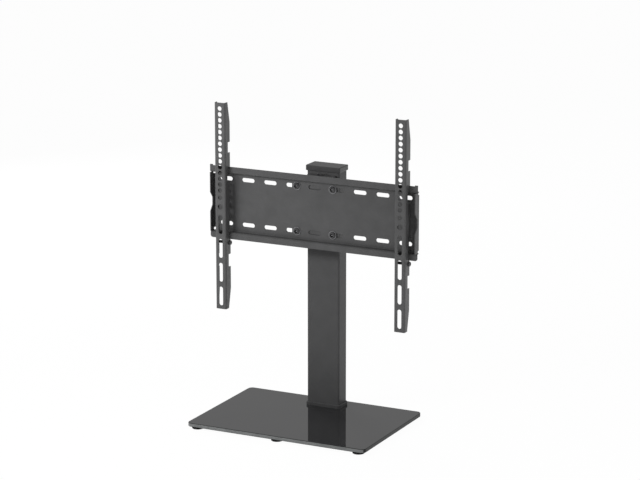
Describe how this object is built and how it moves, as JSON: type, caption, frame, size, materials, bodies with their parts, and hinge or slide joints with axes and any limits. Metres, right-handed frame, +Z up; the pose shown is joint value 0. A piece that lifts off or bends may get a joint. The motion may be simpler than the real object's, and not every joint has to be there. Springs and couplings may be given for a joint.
{
  "type": "tabletop television stand",
  "caption": "Tabletop television stand: glass base on rubber feet, rectangular column, and a swivelling, height-adjustable head with a slotted mounting plate and two sliding hook-on arms.",
  "frame": {"origin": "centre of the base's outline on the table, under the rubber feet", "axes": "+X to the viewer's right, +Y to the rear, +Z up; the television hangs on the -Y side"},
  "size_m": [0.462, 0.274, 0.6395],
  "materials": {
    "black_glass": "tempered glass, black, polished, ground edges",
    "powder_black": "fine-textured black powder coat on sheet steel",
    "column_black": "satin black powder coat on a rectangular tube",
    "plastic_black": "moulded black plastic, fine grain",
    "rubber_black": "moulded rubber",
    "zinc_steel": "zinc-plated steel",
    "black_screw": "blackened steel",
    "nylon_natural": "natural nylon"
  },
  "bodies": {
    "base": {"base_glass": "black_glass", "foot_front_left": "rubber_black", "foot_front_centre": "rubber_black", "foot_front_right": "rubber_black", "foot_rear_left": "rubber_black", "foot_rear_right": "rubber_black", "clamp_plate": "powder_black", "gasket_lower": "rubber_black", "glass_bushings": "nylon_natural", "gasket_upper": "rubber_black", "base_bolts": "zinc_steel", "column": "column_black", "column_foot": "zinc_steel", "column_collar": "plastic_black", "column_cap": "plastic_black"},
    "head": {"head_carrier": "powder_black", "height_bolts": "black_screw", "height_washers": "zinc_steel", "nut_bar": "zinc_steel", "nylon_washer_upper": "nylon_natural", "nylon_washer_lower": "nylon_natural", "swivel_pin": "zinc_steel", "swivel_clip": "black_screw"},
    "swivel": {"swivel_bracket": "powder_black", "plate_nuts": "zinc_steel", "mounting_plate": "powder_black", "plate_washers": "zinc_steel", "plate_bolts": "black_screw"},
    "left_arm": {"arm_left": "powder_black", "lock_screw_left": "black_screw"},
    "right_arm": {"arm_right": "powder_black", "lock_screw_right": "black_screw"}
  },
  "joints": [
    {"name": "head_height", "type": "slide", "parent": "base", "child": "head", "axis": [0, 0, 1], "range_m": [-0.06, 0]},
    {"name": "head_swivel", "type": "hinge", "parent": "head", "child": "swivel", "pos_m": [0, 0.065, 0.433], "axis": [0, 0, 1], "range_deg": [-35, 35]},
    {"name": "left_arm_slide", "type": "slide", "parent": "swivel", "child": "left_arm", "axis": [1, 0, 0], "range_m": [-0.0345, 0.15]},
    {"name": "right_arm_slide", "type": "slide", "parent": "swivel", "child": "right_arm", "axis": [1, 0, 0], "range_m": [-0.15, 0.0125]}
  ]
}
